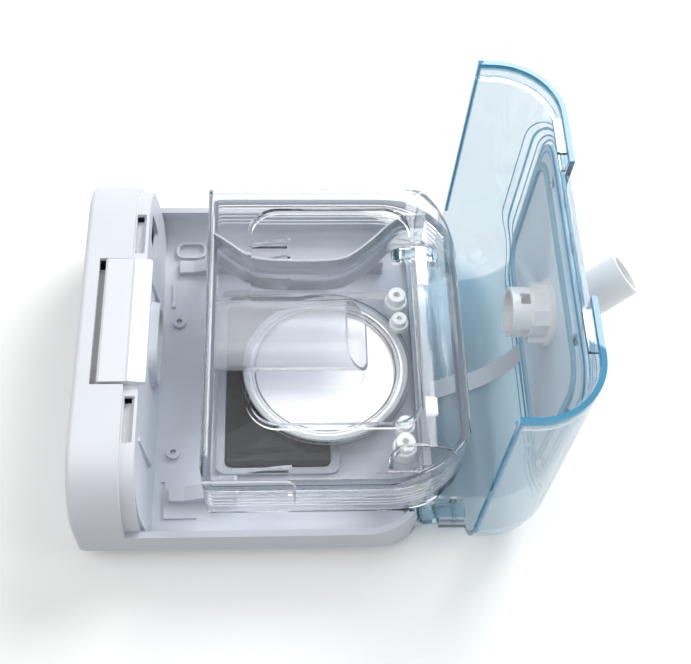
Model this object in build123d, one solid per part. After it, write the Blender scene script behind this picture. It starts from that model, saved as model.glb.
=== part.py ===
from build123d import *
import math
import os

os.makedirs("parts", exist_ok=True)

# Heated humidifier module of a bilevel breathing machine, in millimetres.
# X runs from the latch block to the hinge, Y across the unit, Z up from the table.
# Pieces of the lid are modelled closed and the tank at its seat, then both are moved to the rest pose.

# Overall sizes of the closed unit
base_length = 175.0
base_width = 200.0
arch_height = 72.0
body_radius = 33.0
rim_height = 31.0
underside_radius = 16.0
foot_height = 2.0

# Walls and clearances
skin = 2.5
lid_skin = 2.6
tank_wall = 2.2
moving_gap = 0.4
seat_gap = 0.3

# Latch block at the front end
block_depth = 25.0
block_edge_radius = 3.0
rabbet_width = 7.0
rabbet_depth = 3.0

# Tray
floor_top = 12.0
floor_thickness = 2.5
tray_wall = 3.4
sill_half_width = base_width / 2 - 12.0
sill_drop = 1.5
sill_chamfer = 1.5
recess_half_width = base_width / 2 - 18.0
recess_front_wall = 3.5
recess_rear_margin = 13.5

# Hinge
hinge_height = 7.0
hinge_inset = 5.0
lid_open_angle = 92.0
arm_y = base_width / 2 - 20.0
arm_width = 8.0
arm_eye_radius = 4.5
arm_tongue_thickness = 3.7
arm_tongue_length = 14.0
hinge_pin_radius = 2.0
hinge_pin_grip = 9.0
pin_head_radius = 3.2
pin_fit = 0.05
clip_pin_radius = 1.2

# Lid
lid_rear_edge = 17.9
lid_rear_half_width = base_width / 2 - 12.3
hook_thickness = 1.4
hook_width = 22.0
hook_reach = 4.9

# Water tank, at its seat on the heater
tank_length = base_length - 41.0
tank_half_width = base_width / 2 - 13.0
tank_height = arch_height - 24.0
tank_bottom = 18.0
tank_rear_gap = 0.9
tank_front_radius = 6.0
tank_front_edge_radius = 3.0
tank_rear_radius = 44.0
tank_back_radius = 30.0
tank_low_radius = 6.0
tank_shoulder_radius = 14.0
tank_side_low_radius = 5.0
tank_split = 30.0
tank_seal_height = 1.2
tank_ledge = 2.2
tank_foot_height = 2.0
foot_pad = 8.0
ramp_landing = 1.5
pocket_gap = 0.5
pocket_wall = 1.8
tank_out = 25.5
tank_up = 8.0
window_x_inset = 23.0
window_length = tank_length - 51.0
window_width = 2 * tank_half_width - 48.0
window_y = 3.0
window_radius = 14.0

# Round steel base of the tank, over the heater
disc_radius = 41.0
disc_thickness = 1.2
disc_rim_height = 4.0
disc_x_from_tank_front = 61.5
disc_y = -5.0
disc_seal_width = 2.4

# Heater
heater_length = 54.0
heater_width = base_width - 96.0
heater_thickness = 3.0
heater_element_thickness = 1.0
heater_travel = 1.5
carrier_wall = 3.0
carrier_step = 1.2

# Air path
inlet_y = 7.0
inlet_rise = 17.0
inlet_width = 40.0
inlet_tall = 20.0
inlet_wall = 1.8
inlet_reach = tank_length - 50.0
inlet_slant = 32.0
port_radius = 11.0
port_wall = 2.2
port_x = 3.5
port_y = -5.0
collar_radius = 12.5
collar_bore = 10.5
collar_drop = 24.0
elbow_angle = 42.0
elbow_turn = 20.0
elbow_reach = 37.0
elbow_root = 2.9
connector_length = 22.0
connector_step = 0.8
elbow_flange_radius = 14.0
elbow_flange_height = 2.2
cap_along = 8.0
o_ring_wire = 0.8
stay_slant = 18.0
stay_width = 10.5

# Latch
button_half_width = 36.0
button_length = 23.7
button_front_margin = 11.8
button_travel = 3.0
button_proud = 1.0
latch_bar_thickness = 2.4
slot_y = button_half_width + 18.5
slot_length = 25.0
slot_width = 5.0

# Liner of the lid and its gasket
liner_thickness = 1.4
liner_x = 10.0
liner_length = base_length - 71.0
liner_width = base_width - 52.0
liner_radius = 18.0
gasket_thickness = 1.6
gasket_width = 3.8

# Electronics
board_thickness = 1.6
board_gap = 3.0
dock_y = 51.0
dock_z = 26.0
dock_width = 22.0
dock_tall = 12.0

# Fasteners and small parts
screw_radius = 1.5
screw_head_radius = 2.8
screw_head_height = 1.6
pad_radius = 7.0
spring_radius = 3.0
spring_wire = 0.8

# Places that follow from the sizes
x_front = -base_length / 2
x_rear = base_length / 2
x_step = x_front + block_depth
x_rabbet = x_step + rabbet_width
half_width = base_width / 2
hinge_x = x_rear - hinge_inset
sill_top = tank_bottom - sill_drop
lid_inner_top = arch_height - lid_skin
liner_low = lid_inner_top - liner_thickness
tank_rear = x_rear - lid_skin - tank_rear_gap
tank_front = tank_rear - tank_length
tank_top = tank_bottom + tank_height
split_z = tank_bottom + tank_split
floor_bottom = floor_top - floor_thickness
disc_x = tank_front + disc_x_from_tank_front
heater_top = tank_bottom - seat_gap
heater_low = heater_top - heater_thickness - heater_element_thickness
window_x = tank_front + window_x_inset + window_length / 2
inlet_z = tank_bottom + inlet_rise
recess_x0 = x_front + recess_front_wall
recess_x1 = x_rear - recess_rear_margin
cover_top = foot_height + skin
button_x0 = x_front + button_front_margin
roof_low = arch_height - rabbet_depth - skin
latch_bar_top = roof_low - skin
latch_bar_low = latch_bar_top - latch_bar_thickness
latch_bar_x0 = button_x0 + 1.7
slot_x0 = x_step + 0.5
slot_x1 = slot_x0 + slot_width
panel_top_x = x_rabbet - 0.5
seal_face_x = tank_front - 2.0
board_x = x_front + skin + board_gap
clip_pin_x = hinge_x - 5.3
cap_x = port_x - cap_along * math.sin(math.radians(elbow_angle))
cap_z = arch_height + elbow_root + cap_along * math.cos(math.radians(elbow_angle))
clip_pin_z = 26.0
tongue_low = lid_rear_edge - moving_gap
tongue_x1 = clip_pin_x + 2.0
tongue_x0 = tongue_x1 - arm_tongue_thickness
o_ring_z = arch_height - 8.0

tank_feet = [(fx, side * (tank_half_width - 17.0)) for fx in (tank_front + 10.0, tank_rear - 44.0) for side in (-1, 1)]
pad_places = [(0.0, 0.0)]
pad_places += [(fx, side * (half_width - 34.0)) for fx in (x_front + 17.5, x_rear - 25.5) for side in (-1, 1)]
boss_places = [(bx, side * (recess_half_width - 5.5)) for bx in (x_step + 12.5, 4.0, x_rear - 27.5) for side in (-1, 1)]
liner_edge_x = liner_x - liner_length / 2 + 5.2
liner_edge_y = liner_width / 2 - 4.6
liner_screw_places = [(liner_edge_x, liner_edge_y - 24.4), (liner_edge_x, 24.4 - liner_edge_y),
                      (liner_edge_x + 26.8, -liner_edge_y), (liner_edge_x + 76.8, -liner_edge_y)]
above = arch_height + 28.0


def block(x0, x1, y0, y1, z0, z1):
    """A box between two corners."""
    size = Box(x1 - x0, y1 - y0, z1 - z0)
    return Pos((x0 + x1) / 2, (y0 + y1) / 2, (z0 + z1) / 2) * size


def post(x, y, z0, z1, radius):
    """An upright cylinder."""
    return Pos(x, y, (z0 + z1) / 2) * Cylinder(radius, z1 - z0)


def bar_along_y(x, z, y0, y1, radius):
    """A cylinder lying along Y."""
    return Pos(x, (y0 + y1) / 2, z) * Rot(90, 0, 0) * Cylinder(radius, y1 - y0)


def bar_along_x(y, z, x0, x1, radius):
    """A cylinder lying along X."""
    return Pos((x0 + x1) / 2, y, z) * Rot(0, 90, 0) * Cylinder(radius, x1 - x0)


def across(x0):
    """Sketch plane across X, with Y to the right and Z up."""
    return Plane(origin=(x0, 0, 0), x_dir=(0, 1, 0), z_dir=(1, 0, 0))


def side_profile(points, y0, y1):
    """A prism along Y from points in X and Z."""
    section = Plane.XZ * make_face(Polyline(*points, close=True))
    return Pos(0, y1, 0) * extrude(section, y1 - y0)


def arch(x0, x1, inset, bottom, low_radius):
    """The arched section of the unit between two planes across X, inset all round."""
    half = half_width - inset
    top = arch_height - inset
    section = Pos(0, (bottom + top) / 2) * Rectangle(2 * half, top - bottom)
    section = fillet(section.vertices().sort_by(Axis.Y)[-2:], body_radius - inset)
    if low_radius > 0:
        section = fillet(section.vertices().sort_by(Axis.Y)[:2], low_radius)
    return extrude(across(x0) * section, x1 - x0)


def plan(x0, x1, half, front_radius, rear_radius, z0, z1):
    """An upright solid whose corners are rounded in plan."""
    outline = Pos((x0 + x1) / 2, 0) * Rectangle(x1 - x0, 2 * half)
    outline = fillet(outline.vertices().sort_by(Axis.X)[-2:], rear_radius)
    if front_radius > 0:
        outline = fillet(outline.vertices().sort_by(Axis.X)[:2], front_radius)
    return Pos(0, 0, z0) * extrude(outline, z1 - z0)


def slab(cx, cy, length, width, radius, z0, z1):
    """A flat plate with four rounded corners."""
    outline = Pos(cx, cy) * RectangleRounded(length, width, radius)
    return Pos(0, 0, z0) * extrude(outline, z1 - z0)


def oval_bar(x0, x1, wide, tall):
    """A bar along X on the axis of the air inlet, with an oval section."""
    plane = Plane(origin=(x0, inlet_y, inlet_z), x_dir=(0, 1, 0), z_dir=(1, 0, 0))
    return extrude(plane * SlotOverall(wide, tall), x1 - x0)


def hood(inset, x0, low):
    """The lid's outer form, inset all round: an arch that is closed and rounded at its rear."""
    x1 = x_rear - inset
    form = block(x0, x1, -half_width + inset, half_width - inset, low, arch_height - inset)
    along = form.edges().filter_by(Axis.X).group_by(Axis.Z)[-1]
    corners = form.edges().filter_by(Axis.Z).group_by(Axis.X)[-1]
    top_rear = form.edges().filter_by(Axis.Y).group_by(Axis.X)[-1].sort_by(Axis.Z)[-1:]
    return fillet(along + corners + top_rear, body_radius - inset)


def open_lid(part):
    """Turn a piece of the closed lid to the open rest pose."""
    axis = Axis((hinge_x, 0, hinge_height), (0, 1, 0))
    return part.rotate(axis, lid_open_angle)


def draw_out(part):
    """Move a piece of the seated tank to the drawn out rest pose."""
    return Pos(tank_out, 0, tank_up) * part


def save(part, name):
    """Write one node."""
    export_step(part, "parts/" + name + ".step")


# White moulding of the base: latch block, rabbet for the lid and open tray

def recess():
    """The space under the floor and in the block, closed by the bottom cover."""
    under = block(recess_x0, recess_x1, -recess_half_width, recess_half_width, foot_height - 1, floor_bottom)
    under += block(recess_x0, x_step - skin, -recess_half_width, recess_half_width, foot_height - 1, floor_top + 1)
    return under


def ramp(fx, fy):
    """A cam ramp that lifts one tank foot as the tank is drawn back."""
    low = tank_bottom - tank_foot_height - seat_gap
    edge = fx + foot_pad / 2
    end = edge + tank_out
    points = [(fx - foot_pad / 2, floor_top - 0.5), (fx - foot_pad / 2, low), (edge, low),
              (end, low + tank_up), (end + ramp_landing, low + tank_up), (end + ramp_landing, floor_top - 0.5)]
    return side_profile(points, fy - foot_pad / 2, fy + foot_pad / 2)


def ramp_pocket(fx, fy, wall):
    """The wedge under the tank that clears one ramp, or with a wall thickness the form round it."""
    low = tank_bottom - tank_foot_height - seat_gap
    edge = fx + foot_pad / 2
    end = edge + tank_out + ramp_landing + pocket_gap + wall
    base = low + pocket_gap + seat_gap + wall
    points = [(edge, tank_bottom - 3), (edge, base), (edge + tank_out, base + tank_up), (end, base + tank_up),
              (end, tank_bottom - 3)]
    half = foot_pad / 2 + pocket_gap + wall
    return side_profile(points, fy - half, fy + half)


def make_base_housing():
    body = arch(x_front, x_step, 0, foot_height, underside_radius)
    body = fillet(body.faces().sort_by(Axis.X)[0].edges(), block_edge_radius)
    body += arch(x_step - 1, x_rabbet, rabbet_depth, rim_height - 5, 0)
    low = arch(x_step - 1, x_rear, 0, foot_height, underside_radius)
    low &= plan(x_step - 1, x_rear, half_width, 0, body_radius, foot_height, rim_height)
    body += low
    # hollow of the block
    hollow = arch(x_front + skin, x_step - skin, skin, cover_top, underside_radius - skin)
    hollow += arch(x_step - skin - 1, x_rabbet + 1, rabbet_depth + skin, floor_top, 0)
    body -= hollow
    # tray
    inside = plan(x_rabbet, x_rear - skin, half_width - tray_wall, 0, body_radius - skin, floor_top, above)
    side = arch(x_rabbet, x_rear, tray_wall, floor_top, underside_radius - tray_wall)
    body -= inside & side
    # low sill that the tank slides over, its outer edge cut back for the lid's swing
    body -= block(x_rear - 33, x_rear + 5, -sill_half_width, sill_half_width, sill_top, above)
    lip = [(x_rear - sill_chamfer, sill_top + 1), (x_rear - sill_chamfer, sill_top),
           (x_rear + 1, sill_top - sill_chamfer - 1), (x_rear + 1, sill_top + 1)]
    body -= side_profile(lip, -sill_half_width, sill_half_width)
    body -= recess()
    # opening of the heater in the floor
    body -= slab(disc_x, disc_y, heater_length + 4, heater_width + 4, 4, floor_bottom - 1, floor_top + 1)
    # screw bosses under the floor
    for bx, by in boss_places:
        body += post(bx, by, cover_top, floor_bottom + 0.5, 4.0)
        body -= post(bx, by, cover_top - 1, floor_bottom - 1, screw_radius)
    # rear corner notches and bores of the hinge
    for side in (-1, 1):
        y0 = side * arm_y - arm_width / 2 - moving_gap
        y1 = side * arm_y + arm_width / 2 + moving_gap
        body -= block(hinge_x - arm_eye_radius - 2, x_rear + 5, y0, y1, 0, above)
        inner, outer = sorted((side * (arm_y - arm_width / 2 - hinge_pin_grip), side * arm_y))
        body -= bar_along_y(hinge_x, hinge_height, inner, outer, hinge_pin_radius)
        inner, outer = sorted((side * arm_y, side * half_width))
        body -= bar_along_y(hinge_x, hinge_height, inner, outer, pin_head_radius + 0.6)
    # well of the button and slots for the lid hooks
    well = button_half_width + 1.0
    body -= block(button_x0 - button_travel - moving_gap, x_step, -well, well, roof_low - 1, above)
    for side in (-1, 1):
        y0 = side * slot_y - slot_length / 2
        body -= block(slot_x0, slot_x1, y0, y0 + slot_length, roof_low - 1, above)
    # rails that carry the latch bar
    for ry in (-46.0, -12.0, 12.0, 46.0):
        body += block(x_front + skin - 0.5, x_step - 3, ry - 1.5, ry + 1.5, latch_bar_low - 3, latch_bar_low)
    # holes for the air coupling and the docking plug
    body -= bar_along_x(inlet_y, inlet_z, x_front - 1, x_front + skin + 1, port_radius + port_wall)
    body -= block(x_front - 1, x_front + skin + 1, dock_y - dock_width / 2, dock_y + dock_width / 2,
                  dock_z - dock_tall / 2, dock_z + dock_tall / 2)
    for fx, fy in tank_feet:
        body += ramp(fx, fy)
    return body + floor_details() - floor_cuts()


def floor_details():
    """Raised features at the front of the tray's floor."""
    x0 = tank_front + 2.5
    raised = post(x0 + 4.5, 34, floor_top - 0.5, floor_top + 2.5, 3.6)
    raised += post(x0 + 4.5, -46, floor_top - 0.5, floor_top + 2.5, 3.6)
    pocket_y = half_width - 18
    pocket = slab(x0 + 9.5, pocket_y, 17, 11, 4.5, floor_top - 0.5, floor_top + 3)
    pocket -= slab(x0 + 9.5, pocket_y, 14, 8, 3.0, floor_top - 1, floor_top + 4)
    raised += pocket
    raised += block(x0, x0 + 1.8, 44, 60, floor_top - 0.5, floor_top + 1.6)
    return raised


def floor_cuts():
    """Sunk features at the front of the tray's floor."""
    x0 = tank_front + 1.5
    y0 = 16 - half_width
    cuts = post(x0 + 5.5, 34, floor_top + 0.5, floor_top + 4, 1.6)
    cuts += post(x0 + 5.5, -46, floor_top + 0.5, floor_top + 4, 1.6)
    cuts += block(x0, x0 + 1.8, y0, y0 + 22, floor_top - 1, floor_top + 1)
    cuts += block(x0, x0 + 18.5, y0, y0 + 1.8, floor_top - 1, floor_top + 1)
    return cuts


def make_inner_panel():
    """Sloping wall between the block and the tray, with the air opening."""
    foot_x = seal_face_x - 0.4
    points = [(panel_top_x - skin, roof_low - 0.3), (panel_top_x, roof_low - 0.3),
              (foot_x, floor_top), (foot_x - skin, floor_top)]
    panel = side_profile(points, -half_width, half_width)
    within = rabbet_depth + skin + seat_gap
    panel &= arch(x_step, tank_front, within, floor_top, underside_radius - tray_wall)
    panel += oval_bar(seal_face_x - 4, seal_face_x, inlet_width + 8, inlet_tall + 8)
    panel -= oval_bar(x_step, tank_front, inlet_width, inlet_tall)
    window = Plane(origin=(x_step, 67, 49), x_dir=(0, 1, 0), z_dir=(1, 0, 0)) * RectangleRounded(18, 18, 3)
    panel -= extrude(window, 20)
    # cable hole and two ribs
    for ry in (-60.0, 36.0):
        rib = [(panel_top_x - 1, 60), (panel_top_x + 1.4, 58), (foot_x + 0.8, 30), (foot_x - 1, 28)]
        panel += side_profile(rib, ry - 1, ry + 1)
    return panel


def make_duct_seal():
    ring = oval_bar(seal_face_x, tank_front - seat_gap, inlet_width + 7, inlet_tall + 7)
    return ring - oval_bar(seal_face_x - 1, tank_front + 1, inlet_width, inlet_tall)


def make_air_duct():
    """Coupling tube at the front and the plenum behind the inner panel."""
    box_x0 = x_step - 4
    box_x1 = panel_top_x - skin - 0.4
    duct = bar_along_x(inlet_y, inlet_z, x_front, box_x0 + 1, port_radius + port_wall)
    duct += oval_bar(box_x0, box_x1, inlet_width + 5, inlet_tall + 9)
    duct -= bar_along_x(inlet_y, inlet_z, x_front - 1, box_x0 + 2.5, port_radius)
    duct -= oval_bar(box_x0 + 2, box_x1 + 1, inlet_width, inlet_tall + 4)
    return duct


def make_bottom_cover():
    gap = seat_gap
    plate = block(recess_x0 + gap, recess_x1 - gap, -recess_half_width + gap, recess_half_width - gap,
                  foot_height, cover_top)
    for bx, by in boss_places:
        plate -= post(bx, by, 0, 10, screw_radius + 0.2)
        plate -= post(bx, by, 0, foot_height + screw_head_height, screw_head_radius + 0.2)
    for n in range(9):
        vy = -24.0 + 6.0 * n
        plate -= block(-52, -24, vy - 1, vy + 1, 0, 10)
    return plate


def make_cover_screws():
    screws = []
    for bx, by in boss_places:
        screw = post(bx, by, foot_height + screw_head_height, floor_bottom - 1.2, screw_radius)
        screw += post(bx, by, foot_height + 0.2, foot_height + screw_head_height, screw_head_radius)
        for length, width in ((3.4, 0.8), (0.8, 3.4)):
            screw -= Pos(bx, by, foot_height + 0.2) * Box(length, width, 1.4)
        screws.append(screw)
    return Compound(children=screws)


def make_rubber_feet():
    pads = []
    for px, py in pad_places:
        pad = post(px, py, 0, foot_height, pad_radius)
        pads.append(fillet(pad.edges().sort_by(Axis.Z)[:1], 0.6))
    return Compound(children=pads)


# Heater group under the tank, floating on springs

def make_heater_carrier():
    outer = slab(disc_x, disc_y, heater_length + 4 + 2 * carrier_wall, heater_width + 4 + 2 * carrier_wall,
                 6, floor_top, heater_top - carrier_step)
    ring = outer - slab(disc_x, disc_y, heater_length + 1, heater_width + 1, 4, floor_top - 1, heater_top + 1)
    # bridges below the opening that carry the springs
    low = cover_top + 0.3
    for by in (disc_y - 36, disc_y + 36):
        half = heater_length / 2 + 1.5
        ring += block(disc_x - half, disc_x + half, by - 5, by + 5, low, low + 1.6)
        for side in (-1, 1):
            x0 = disc_x + side * half
            ring += block(x0 - 0.4, x0 + 0.4, by - 5, by + 5, low, floor_top + 1)
    return ring


def make_heater_plate():
    plate = slab(disc_x, disc_y, heater_length, heater_width, 5, heater_top - heater_thickness, heater_top)
    return chamfer(plate.faces().sort_by(Axis.Z)[-1].edges(), 0.5)


def make_heater_element():
    top = heater_top - heater_thickness
    return slab(disc_x, disc_y, heater_length - 6, heater_width - 6, 3, heater_low, top)


def make_thermal_cutout():
    can = post(disc_x, disc_y, heater_low - 2.6, heater_low, 5.0)
    return can + block(disc_x - 10, disc_x + 10, disc_y - 3, disc_y + 3, heater_low - 0.8, heater_low)


def coil(radius, wire, turns, height):
    """One compression spring that stands on its end."""
    path = Helix(pitch=(height - wire) / turns, height=height - wire, radius=radius)
    start = Plane(origin=path @ 0, z_dir=path % 0)
    return Pos(0, 0, wire / 2) * sweep(start * Circle(wire / 2), path=path)


def make_heater_springs():
    low = cover_top + 0.3 + 1.6
    spring = coil(spring_radius, spring_wire, 4, heater_low - low)
    places = [(disc_x + sx * 16.0, disc_y + sy * 36.0) for sx in (-1, 1) for sy in (-1, 1)]
    return Compound(children=[Pos(px, py, low) * spring for px, py in places])


def make_heater_leads():
    """Two wires from the board through the recess to the heater."""
    leads = []
    for n in range(2):
        off = 3.0 * n
        points = [(board_x + 7, 37 + off, 18), (board_x + 7, 37 + off, 7), (disc_x - 36, 14 + off, 7),
                  (disc_x - 12, disc_y + off, 7)]
        path = FilletPolyline(*points, radius=4)
        leads.append(sweep(Plane(origin=points[0], z_dir=path % 0) * Circle(0.8), path=path))
    return Compound(children=leads)


# Electronics in the latch block

def make_control_board():
    face = board_x + board_thickness
    board = block(board_x, face, dock_y - 25, dock_y + 33, cover_top + 4, arch_height - 22)
    board += block(face, face + 8, 34, 44, 18, 26)
    board += block(face, face + 3, 52, 66, arch_height - 38, arch_height - 28)
    board += block(face, face + 6, 72, 80, 14, 24)
    for cy in (34.0, 44.0):
        board += bar_along_x(cy, arch_height - 30, face, face + 9, 3.0)
    return board


def make_docking_connector():
    half_y = dock_width / 2 - 0.2
    half_z = dock_tall / 2 - 0.2
    shell = block(x_front, board_x, dock_y - half_y, dock_y + half_y, dock_z - half_z, dock_z + half_z)
    shell -= block(x_front - 1, board_x - 1.6, dock_y - half_y + 1.6, dock_y + half_y - 1.6,
                   dock_z - half_z + 1.6, dock_z + half_z - 1.6)
    for n in range(6):
        cy = dock_y - 7.0 + 2.8 * n
        shell += block(x_front + 1, board_x - 1, cy - 0.5, cy + 0.5, dock_z - 0.5, dock_z + 0.5)
    return shell


# Latch: sliding button, bar with fingers and return springs

def make_latch_button():
    x1 = button_x0 + button_length
    top = arch_height + button_proud
    low = lid_inner_top
    ridge = x_step + 2.0
    points = [(button_x0, low), (button_x0, top - 0.8), (button_x0 + 1.2, top), (ridge - 1.4, top),
              (ridge, top + 0.6), (ridge + 1.2, top), (x1, top - 1.4), (x1, low)]
    cap = side_profile(points, -button_half_width, button_half_width)
    return fillet(cap.edges().filter_by(Axis.Z), 1.0)


def make_latch_bar():
    """Bar on rails inside the block; its web is fixed to the button and its fingers lie under the slots."""
    x0 = latch_bar_x0
    bar_half = slot_y + hook_width / 2 + 1.5
    bar = block(x0, x0 + 8, -bar_half, bar_half, latch_bar_low, latch_bar_top)
    bar += block(x0, x0 + 8, -button_half_width + 4, button_half_width - 4, latch_bar_top - 0.5, lid_inner_top)
    # shelf that closes the well in front of the button
    bar += block(x0 - 6.5, x0 + 0.5, -button_half_width + 1, button_half_width - 1, latch_bar_top - 1.2, latch_bar_top)
    for side in (-1, 1):
        y0 = side * slot_y - hook_width / 2
        bar += block(x0 + 7, slot_x1 - 1.4, y0, y0 + hook_width, latch_bar_low, latch_bar_top)
        bar += block(x0, x0 + 2, side * 28 - 4, side * 28 + 4, latch_bar_low - 7, latch_bar_top)
    return bar


def make_latch_springs():
    """Return springs on the front wall, drawn at their compressed length."""
    length = latch_bar_x0 - button_travel - seat_gap - (x_front + skin)
    spring = Rot(0, 90, 0) * coil(spring_radius - 0.6, spring_wire, 5, length)
    z = latch_bar_low - 3.5
    return Compound(children=[Pos(x_front + skin, cy, z) * spring for cy in (-28.0, 28.0)])


# Hinge and lid

def make_hinge_pins():
    pins = []
    for side in (-1, 1):
        inner, outer = sorted((side * (arm_y - arm_width / 2 - hinge_pin_grip), side * (arm_y + arm_width / 2)))
        pin = bar_along_y(hinge_x, hinge_height, inner, outer, hinge_pin_radius)
        head_y = side * (arm_y + arm_width / 2 + seat_gap + 0.5)
        pin += bar_along_y(hinge_x, hinge_height, head_y - 0.5, head_y + 0.5, pin_head_radius)
        neck_y = side * (arm_y + arm_width / 2 + 0.2)
        pins.append(pin + bar_along_y(hinge_x, hinge_height, neck_y - 0.4, neck_y + 0.4, hinge_pin_radius))
    return Compound(children=pins)


def make_hinge_arm(side):
    """Swan neck that carries the lid on its pivot."""
    y0 = side * arm_y - arm_width / 2
    y1 = side * arm_y + arm_width / 2
    eye_x0 = hinge_x - arm_eye_radius + 0.4
    points = [(eye_x0, hinge_height - 0.5), (eye_x0, tongue_low - 3), (tongue_x0, tongue_low + 1),
              (tongue_x0, tongue_low + arm_tongue_length), (tongue_x1, tongue_low + arm_tongue_length),
              (tongue_x1, tongue_low), (hinge_x + 0.8, tongue_low), (hinge_x + arm_eye_radius - 0.4, hinge_height - 0.5)]
    arm = side_profile(points, y0, y1) + bar_along_y(hinge_x, hinge_height, y0, y1, arm_eye_radius)
    arm -= bar_along_y(hinge_x, hinge_height, y0 - 1, y1 + 1, hinge_pin_radius + pin_fit)
    return arm - bar_along_y(clip_pin_x, clip_pin_z, y0 - 1, y1 + 1, clip_pin_radius)


def make_arm_clip_pins():
    pins = []
    for side in (-1, 1):
        inner, outer = sorted((side * (arm_y - arm_width / 2 - 1.9), side * (arm_y + arm_width / 2 + 1.3)))
        pin = bar_along_y(clip_pin_x, clip_pin_z, inner, outer, clip_pin_radius)
        head_y = side * (arm_y - arm_width / 2 - 2.5)
        pins.append(pin + bar_along_y(clip_pin_x, clip_pin_z, head_y - 0.7, head_y + 0.7, 2.3))
    return Compound(children=pins)


def make_lid_shell():
    low = rim_height + moving_gap
    front = x_step + moving_gap
    shell = hood(0, front, lid_rear_edge) - hood(lid_skin, front - 1, lid_rear_edge - 1)
    # the sides end at the rim, the rear wall goes down to the sill
    cut = block(front - 1, x_rear + 5, -half_width - 5, half_width + 5, 0, low)
    cut -= block(x_rear - body_radius, x_rear + 5, -lid_rear_half_width, lid_rear_half_width, 0, low)
    shell -= cut
    # ears inside the rear corners that hold the arms
    for side in (-1, 1):
        for ear_y in (arm_y - arm_width / 2 - 1.1, arm_y + arm_width / 2 + 1.0):
            ear = block(clip_pin_x - 2.6, x_rear, side * ear_y - 0.7, side * ear_y + 0.7, lid_rear_edge, 31)
            shell += ear & hood(lid_skin - 0.5, front, lid_rear_edge)
        inner, outer = sorted((side * (arm_y - 7), side * (arm_y + arm_width / 2 + 1.3)))
        shell -= bar_along_y(clip_pin_x, clip_pin_z, inner, outer, clip_pin_radius)
    # notch for the button
    notch = button_half_width + 1.5
    shell -= block(front - 1, button_x0 + button_length + 0.8, -notch, notch, lid_inner_top - 1, arch_height + 1)
    shell -= post(port_x, port_y, lid_inner_top - 1, arch_height + 1, collar_radius)
    # rib along the front edge, behind the rabbet
    rib_x = x_rabbet + 1.0
    rib = arch(rib_x, rib_x + 1.6, lid_skin - 0.1, low, 0) - arch(rib_x - 1, rib_x + 3, lid_skin + 2.2, low - 1, 0)
    return shell + (rib - block(rib_x - 1, rib_x + 3, -notch - 1, notch + 1, arch_height - 12, above))


def make_lid_hooks():
    hooks = []
    x1 = slot_x0 + 2.6
    low = lid_inner_top - hook_reach
    for side in (-1, 1):
        y0 = side * slot_y - hook_width / 2
        hook = block(x1 - hook_thickness, x1, y0, y0 + hook_width, low, lid_inner_top)
        hook += block(x1 - hook_thickness - 0.7, x1, y0, y0 + hook_width, low, low + 1.0)
        hooks.append(hook)
    return Compound(children=hooks)


def make_lid_liner():
    plate = slab(liner_x, 0, liner_length, liner_width, liner_radius, liner_low, lid_inner_top + 1)
    plate &= hood(lid_skin, x_step, rim_height)
    rim = slab(liner_x, 0, liner_length, liner_width, liner_radius, liner_low - 1.0, liner_low)
    rim -= slab(liner_x, 0, liner_length - 2, liner_width - 2, liner_radius - 1, liner_low - 2, liner_low + 1)
    plate += rim
    for sx, sy in liner_screw_places:
        plate -= post(sx, sy, liner_low - 1, arch_height, screw_radius)
    return plate - post(port_x, port_y, liner_low - 1, arch_height, collar_radius)


def make_liner_screws():
    screws = []
    for sx, sy in liner_screw_places:
        screw = post(sx, sy, liner_low, lid_inner_top, screw_radius)
        screw += post(sx, sy, liner_low - 1.2, liner_low, screw_head_radius)
        screw &= hood(lid_skin, x_step, rim_height)
        screws.append(screw - Pos(sx, sy, liner_low - 1.2) * Box(3.6, 0.8, 1.2))
    return Compound(children=screws)


def make_liner_gasket():
    low = liner_low - gasket_thickness
    length = window_length + 2
    width = window_width + 2
    ring = slab(window_x, window_y, length + 2 * gasket_width, width + 2 * gasket_width,
                window_radius + gasket_width, low, liner_low)
    return ring - slab(window_x, window_y, length, width, window_radius, low - 1, liner_low + 1)


def make_port_collar():
    low = arch_height - collar_drop
    collar = post(port_x, port_y, low, arch_height, collar_radius)
    collar += post(port_x, port_y, liner_low - 2.0, liner_low, collar_radius + 4.5)
    for n in range(4):
        turn = 45 + 90 * n
        reach = collar_radius + 0.6
        cx = port_x + reach * math.cos(math.radians(turn))
        cy = port_y + reach * math.sin(math.radians(turn))
        collar += Pos(cx, cy, liner_low - 5.5) * Rot(0, 0, turn) * Box(3.0, 7.0, 9.0)
    collar -= post(port_x, port_y, low - 1, arch_height + 1, collar_bore)
    for n in range(4):
        turn = 90 * n
        cx = port_x + collar_radius * math.cos(math.radians(turn))
        cy = port_y + collar_radius * math.sin(math.radians(turn))
        collar -= Pos(cx, cy, low + 6.5) * Rot(0, 0, turn) * Box(8.0, 6.0, 5.0)
    return collar


def at_rest_turn(shape):
    """Turn the elbow or its cap about the port to the rest angle."""
    return Pos(port_x, port_y, 0) * Rot(0, 0, -elbow_turn) * Pos(-port_x, -port_y, 0) * shape


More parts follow.
